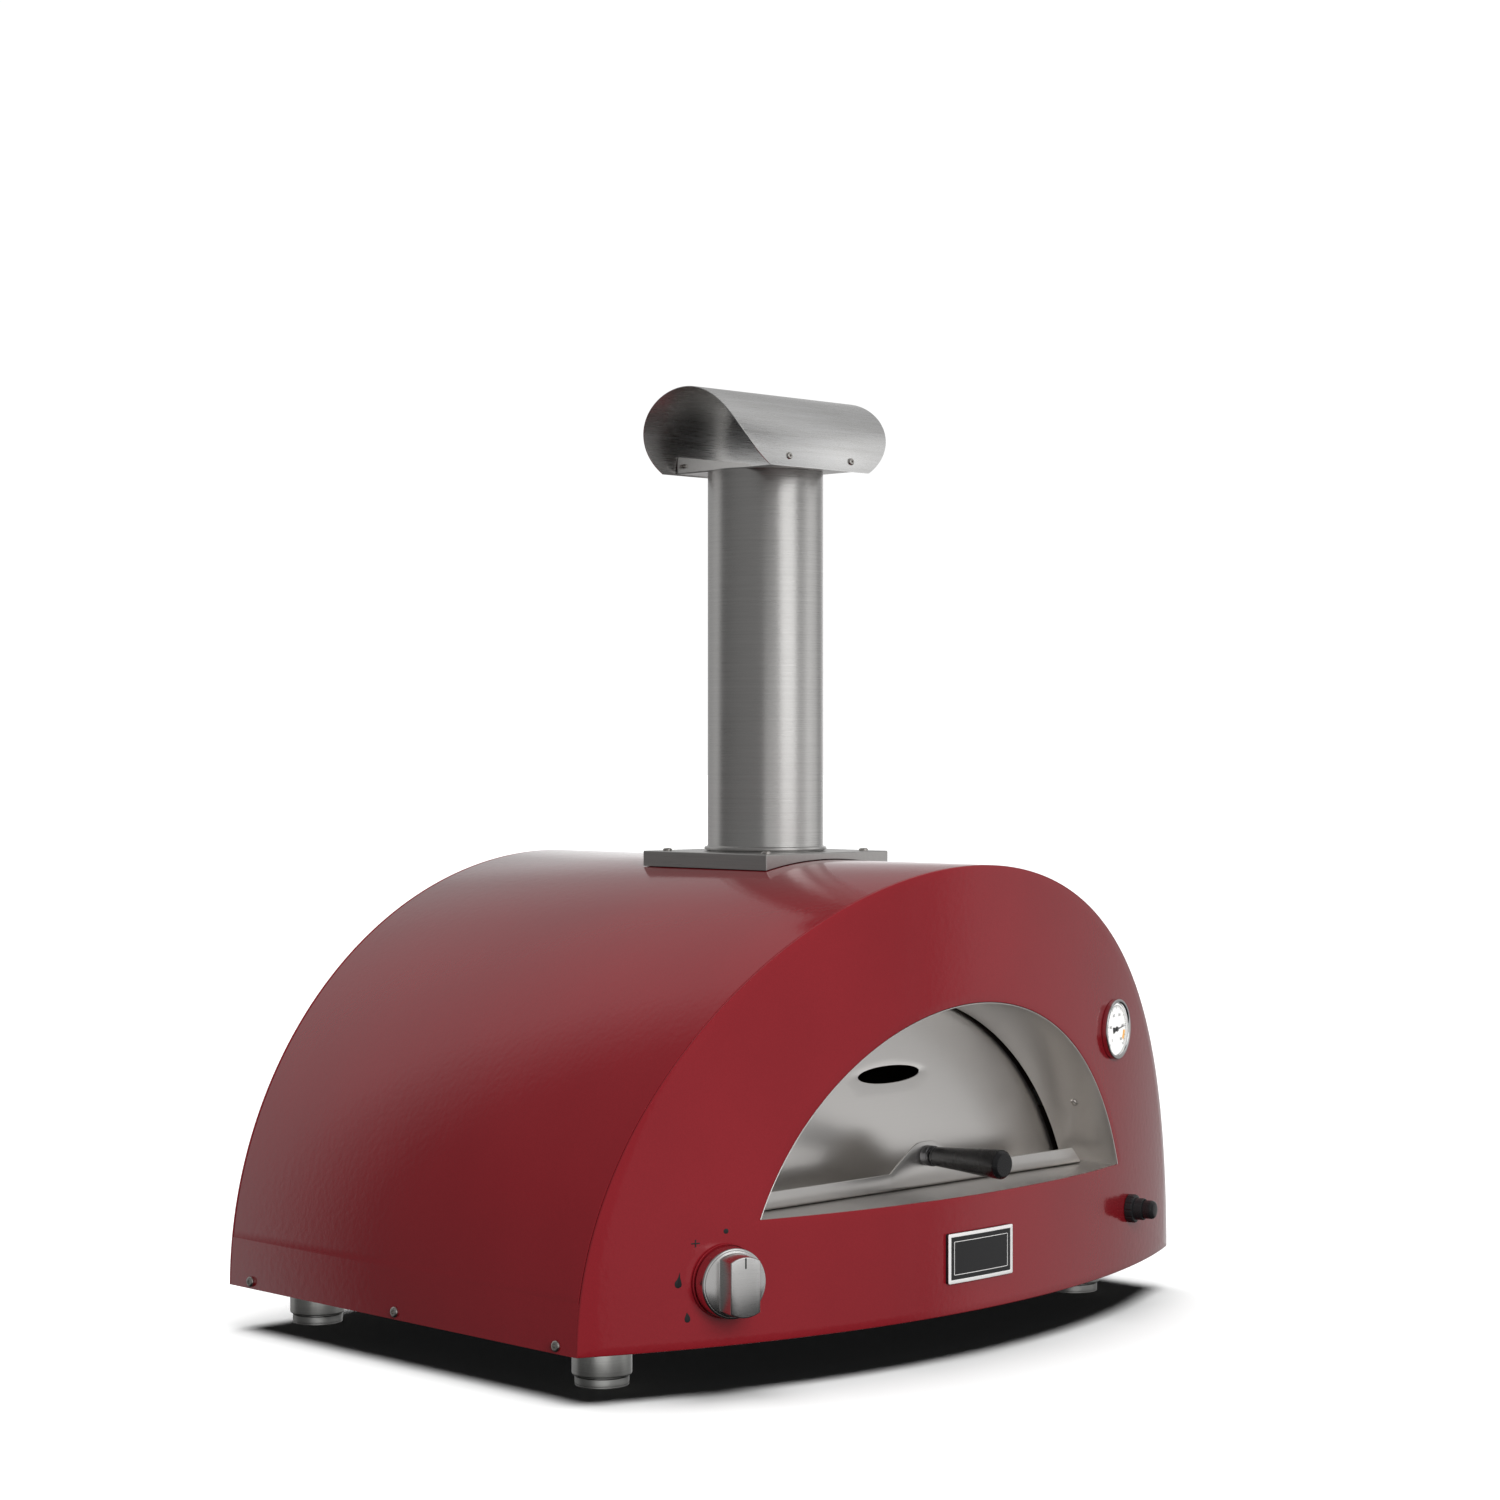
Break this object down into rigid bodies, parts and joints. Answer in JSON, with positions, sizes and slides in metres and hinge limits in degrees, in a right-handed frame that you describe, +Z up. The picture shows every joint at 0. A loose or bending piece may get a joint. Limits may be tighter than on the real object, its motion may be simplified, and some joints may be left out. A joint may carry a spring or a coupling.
{
  "type": "countertop pizza oven",
  "caption": "Arched countertop gas pizza oven with a bowed front, lift-out steel door, flue with a cowl, control knob, spark button and dial thermometer.",
  "frame": {"origin": "on the counter, at the middle of the whole oven from the free end of the door handle to the tip of the gas inlet", "axes": "+X to the oven's right as seen from the front, +Y to the back, +Z up; the mouth faces -Y"},
  "size_m": [0.7246, 0.5752, 0.7973],
  "materials": {
    "red_powder_coat": "satin red powder coat with a fine orange-peel texture",
    "galvanised_steel": "dull galvanised sheet",
    "stainless_steel": "satin stainless steel sheet",
    "brushed_flue_steel": "brushed stainless steel",
    "screw_steel": "bright stainless steel",
    "foot_steel": "turned satin steel",
    "foot_pad": "satin metal glide",
    "knob_steel": "brushed steel",
    "polished_chrome": "polished",
    "dial_face": "matt white",
    "dial_glass": "clear",
    "needle_black": "matt black",
    "black_grip": "gloss black moulded plastic",
    "brass": "machined",
    "gas_pipe": "drawn tube",
    "refractory_stone": "porous fireclay",
    "ceramic_fibre": "matt white fibre",
    "electrode_ceramic": "glazed ceramic",
    "lead_silicone": "silicone sleeve",
    "badge_silver": "polished rim",
    "badge_field": "satin dark grey"
  },
  "bodies": {
    "oven": {"roof_shell": "red_powder_coat", "front_panel": "red_powder_coat", "rear_panel": "red_powder_coat", "base_pan": "galvanised_steel", "hearth_support": "galvanised_steel", "liner_brackets": "galvanised_steel", "mouth_liner": "stainless_steel", "threshold_plate": "stainless_steel", "bulkhead": "stainless_steel", "chamber_vault": "stainless_steel", "chamber_back_wall": "stainless_steel", "burner_shield": "stainless_steel", "burner_tube": "stainless_steel", "flue_flange": "brushed_flue_steel", "flue_throat": "brushed_flue_steel", "side_screws": "screw_steel", "rear_screws": "screw_steel", "flange_screws": "screw_steel", "liner_screws": "screw_steel", "foot_bolts": "screw_steel", "thermometer_case": "screw_steel", "thermometer_probe": "screw_steel", "foot_legs": "foot_steel", "foot_pads": "foot_pad", "knob_bezel": "knob_steel", "thermometer_bezel": "polished_chrome", "thermometer_dial": "dial_face", "thermometer_lens": "dial_glass", "igniter_body": "black_grip", "igniter_nut": "black_grip", "gas_valve": "brass", "gas_inlet": "brass", "supply_pipe": "gas_pipe", "burner_feed": "gas_pipe", "hearth_tiles": "refractory_stone", "vault_blanket": "ceramic_fibre", "rear_blanket": "ceramic_fibre", "insulation_board": "ceramic_fibre", "spark_electrode": "electrode_ceramic", "ignition_lead": "lead_silicone", "badge_frame": "badge_silver", "badge_plate": "badge_field"},
    "flue": {"flue_pipe": "brushed_flue_steel", "hood": "brushed_flue_steel", "hood_bracket": "brushed_flue_steel", "hood_screws": "screw_steel"},
    "door": {"door_panel": "stainless_steel", "handle_ferrule": "screw_steel", "handle_grip": "black_grip", "handle_bolt": "screw_steel"},
    "valve_plunger": {"valve_plunger": "brass"},
    "control_knob": {"knob": "knob_steel", "knob_bar": "knob_steel", "valve_stem": "knob_steel"},
    "igniter_button": {"igniter_button": "black_grip"},
    "dial_needle": {"thermometer_needle": "needle_black"}
  },
  "joints": [
    {"name": "door_pull", "type": "slide", "parent": "oven", "child": "door", "axis": [0, -1, 0], "range_m": [0, 0.3]},
    {"name": "flue_lift", "type": "slide", "parent": "oven", "child": "flue", "axis": [0, 0, 1], "range_m": [0, 0.08]},
    {"name": "knob_push", "type": "slide", "parent": "oven", "child": "valve_plunger", "axis": [0.3055, 0.9522, 0], "range_m": [0, 0.003], "stiffness_N_per_m": 1500, "springref_m": -0.002},
    {"name": "knob_turn", "type": "hinge", "parent": "valve_plunger", "child": "control_knob", "pos_m": [-0.2495, -0.22151, 0.087], "axis": [-0.3055, -0.9522, 0], "range_deg": [0, 130]},
    {"name": "igniter_press", "type": "slide", "parent": "oven", "child": "igniter_button", "axis": [-0.2988, 0.9543, 0], "range_m": [0, 0.005], "stiffness_N_per_m": 1200, "springref_m": -0.002},
    {"name": "needle_turn", "type": "hinge", "parent": "oven", "child": "dial_needle", "pos_m": [0.211, -0.23282, 0.249], "axis": [0.2584, -0.966, 0], "range_deg": [-51, 219]}
  ]
}
